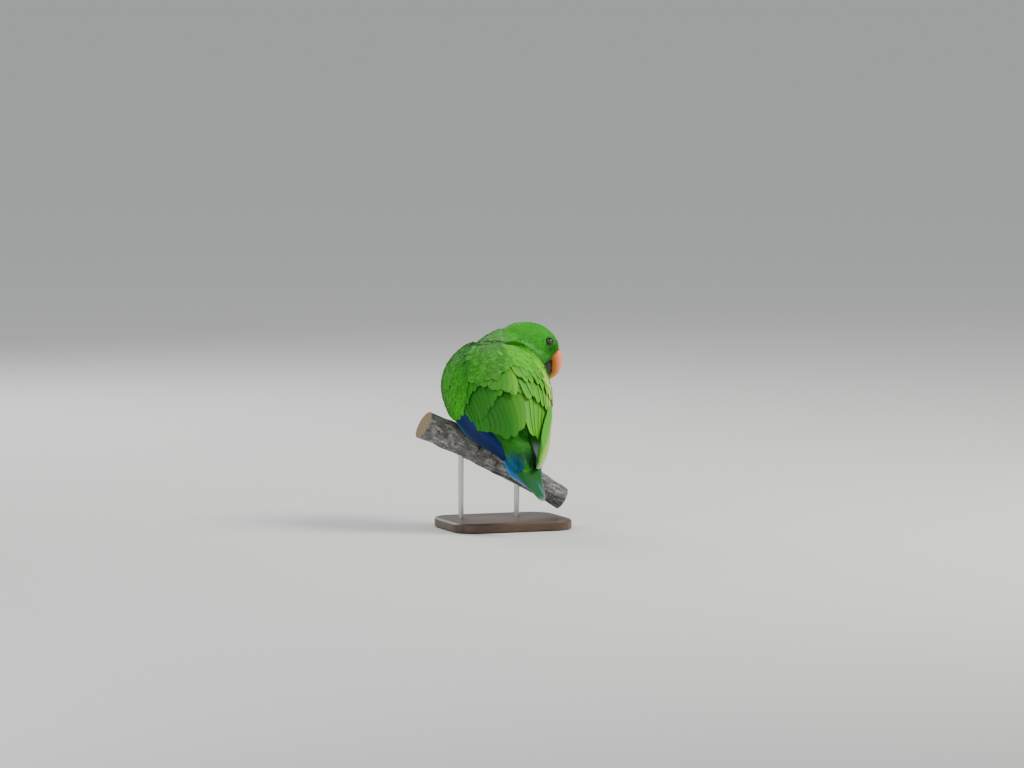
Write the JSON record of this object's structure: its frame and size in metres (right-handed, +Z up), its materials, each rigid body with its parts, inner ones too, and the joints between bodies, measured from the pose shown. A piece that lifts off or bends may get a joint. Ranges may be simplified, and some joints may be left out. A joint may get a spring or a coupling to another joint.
{
  "type": "eclectus parrot",
  "caption": "Life-size green parrot with an orange bill, looking over its right shoulder while gripping a short sloping branch held above a flat display base by rods.",
  "frame": {"origin": "centre of the stand base's underside", "axes": "+Z up, -Y the way the bird's body faces, +X the bird's left"},
  "size_m": [0.1954, 0.2038, 0.2431],
  "materials": {
    "bark": "weathered grey brown bark with pale mottling",
    "base_wood": "dark oiled wood",
    "bill_lower": "satin black horn",
    "bill_upper": "satin coral orange horn, yellow at the tip",
    "body_feathers": "soft matt green plumage",
    "claw": "dark grey horn",
    "eye": "wet dark eye",
    "foot_skin": "grey scaled skin",
    "rod_steel": "brushed rod",
    "tail_feathers": "green tail turning blue towards the pale tips",
    "wing_feathers": "green flight feathers and coverts with blue hand feathers"
  },
  "bodies": {
    "root": {"torso": "body_feathers", "neck": "body_feathers", "head": "body_feathers", "bill_upper": "bill_upper", "bill_lower": "bill_lower", "eye_left": "eye", "eye_right": "eye", "wing_left": "wing_feathers", "wing_right": "wing_feathers", "tail": "tail_feathers", "leg_left": "body_feathers", "foot_left": "foot_skin", "claw_left_1": "claw", "claw_left_2": "claw", "claw_left_3": "claw", "claw_left_4": "claw", "leg_right": "body_feathers", "foot_right": "foot_skin", "claw_right_1": "claw", "claw_right_2": "claw", "claw_right_3": "claw", "claw_right_4": "claw", "perch": "bark", "stand_base": "base_wood", "stand_rod_left": "rod_steel", "stand_rod_right": "rod_steel"}
  },
  "joints": []
}
